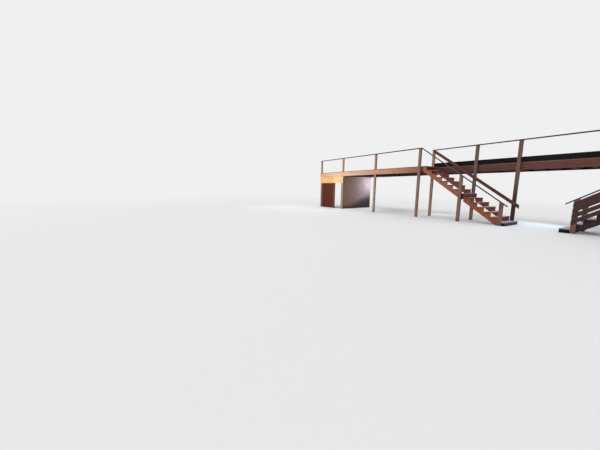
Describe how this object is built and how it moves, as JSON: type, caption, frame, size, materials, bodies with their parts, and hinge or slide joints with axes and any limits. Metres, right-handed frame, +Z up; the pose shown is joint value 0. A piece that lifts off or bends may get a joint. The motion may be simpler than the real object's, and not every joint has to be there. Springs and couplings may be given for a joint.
{
  "type": "timber mezzanine with stairs",
  "caption": "Timber mezzanine on posts along a hall wall, with facing open stairs in a set-back bay, a guard rail and a small store room under one end.",
  "frame": {"origin": "on the floor, in the middle of the outline seen from above", "axes": "+Z up, +Y from the open front to the wall that carries the ledger, +X along the mezzanine from the store room to the near end"},
  "size_m": [22.149, 3.198, 3.73],
  "materials": {
    "stained_post": "red-brown stain, worn",
    "front_beam_wood": "orange-brown stain, dry",
    "red_brown_beam": "red-brown stain, dusty",
    "dark_beam": "dark old stain",
    "joist_wood": "sawn, unfinished",
    "deck_wood": "worn boards, unfinished",
    "dark_board": "dark paint, dusty",
    "rail_wood": "dark brown stain, handled",
    "back_rail_wood": "dark red-brown stain",
    "stringer_wood": "orange-brown stain",
    "tread_wood": "worn red-brown stain",
    "pale_plywood": "yellow plywood, varnished",
    "brown_panel": "brown stained plywood",
    "jamb_wood": "pale brown stain",
    "grey_plywood": "grey-brown weathered plywood"
  },
  "bodies": {
    "root": {"front_posts_far": "stained_post", "front_posts_near": "stained_post", "set_back_posts": "stained_post", "mid_stair_posts": "stained_post", "newel_posts": "stained_post", "end_guard_post": "stained_post", "front_beam_far": "front_beam_wood", "front_beam_near": "front_beam_wood", "set_back_beam": "red_brown_beam", "landing_beams": "red_brown_beam", "wall_ledger": "joist_wood", "end_beams": "joist_wood", "joists_far": "joist_wood", "joists_middle": "joist_wood", "joists_near": "joist_wood", "deck_far": "deck_wood", "deck_middle": "deck_wood", "deck_near": "deck_wood", "kick_board": "dark_board", "guard_rail_far": "rail_wood", "guard_rail_set_back": "rail_wood", "guard_rail_near": "rail_wood", "guard_rail_end": "rail_wood", "mid_stair_beams": "dark_beam", "far_stair_upper_stringers": "stringer_wood", "far_stair_lower_stringers": "stringer_wood", "near_stair_upper_stringers": "stringer_wood", "near_stair_lower_stringers": "stringer_wood", "far_stair_treads": "tread_wood", "near_stair_treads": "tread_wood", "far_stair_front_handrail": "rail_wood", "far_stair_back_handrail": "back_rail_wood", "near_stair_front_handrail": "rail_wood", "near_stair_back_handrail": "back_rail_wood", "near_stair_guard_boards": "back_rail_wood", "bottom_step_frames": "dark_board", "bottom_step_planks": "tread_wood", "store_header": "pale_plywood", "store_lintel": "joist_wood", "store_front_sheets": "brown_panel", "store_batten": "jamb_wood", "store_door_jambs": "jamb_wood", "store_side_sheet": "grey_plywood", "store_side_frame": "joist_wood", "store_side_plates": "joist_wood"}
  },
  "joints": []
}
